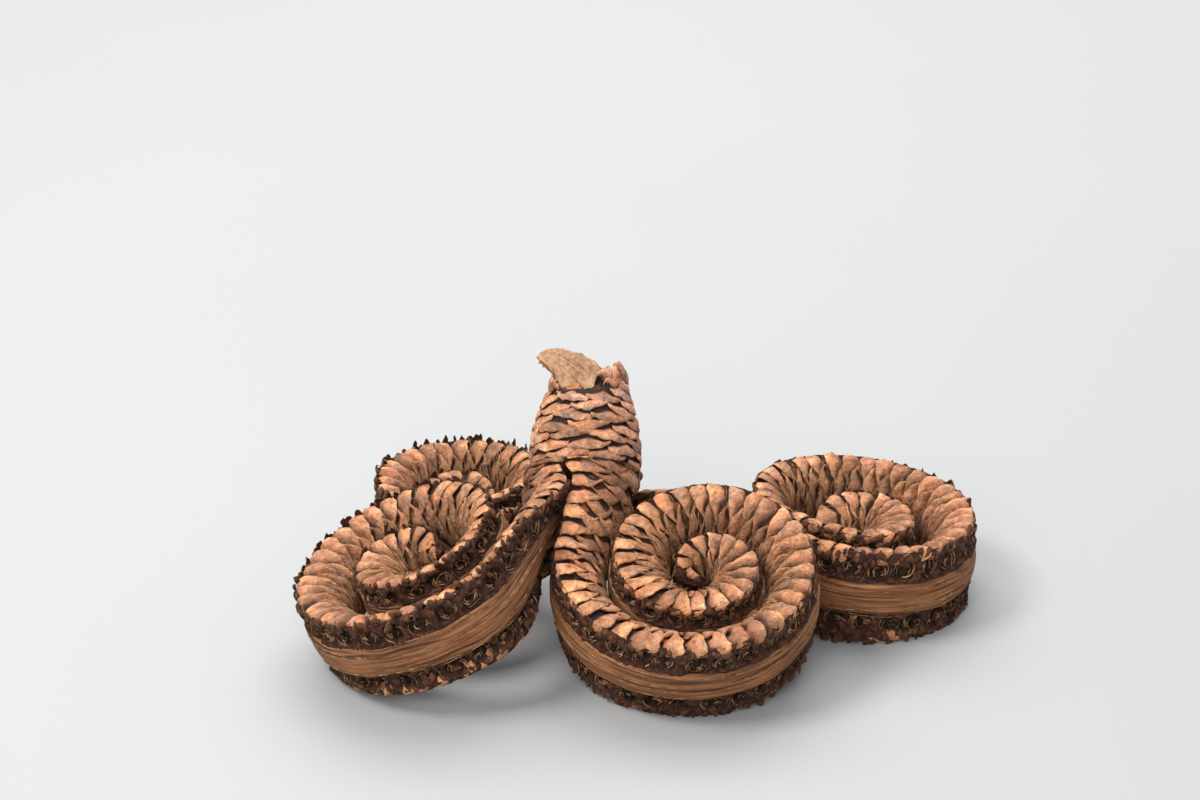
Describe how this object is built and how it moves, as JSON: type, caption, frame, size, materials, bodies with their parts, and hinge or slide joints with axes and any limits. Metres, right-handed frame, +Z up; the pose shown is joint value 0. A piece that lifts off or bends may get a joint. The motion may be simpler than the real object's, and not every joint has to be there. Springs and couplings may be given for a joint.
{
  "type": "rams horn pod",
  "caption": "Dried scaly plant pod: a short slanting trunk with a broken stem stub, slit from its tip into arms that curl outward into flat scrolls.",
  "frame": {"origin": "middle of the outline's box, on the plane that the pod lies on", "axes": "+Z up, +X to the right in the picture and along the longest side, +Y away from the viewer"},
  "size_m": [0.2022, 0.138, 0.0758],
  "materials": {
    "bract_body": "dry, rough, reddish-brown overlapping scales",
    "woody_axis": "dry, bare, straight-grained tan wood"
  },
  "bodies": {
    "root": {"bract_body": "bract_body", "woody_axis": "woody_axis"}
  },
  "joints": []
}
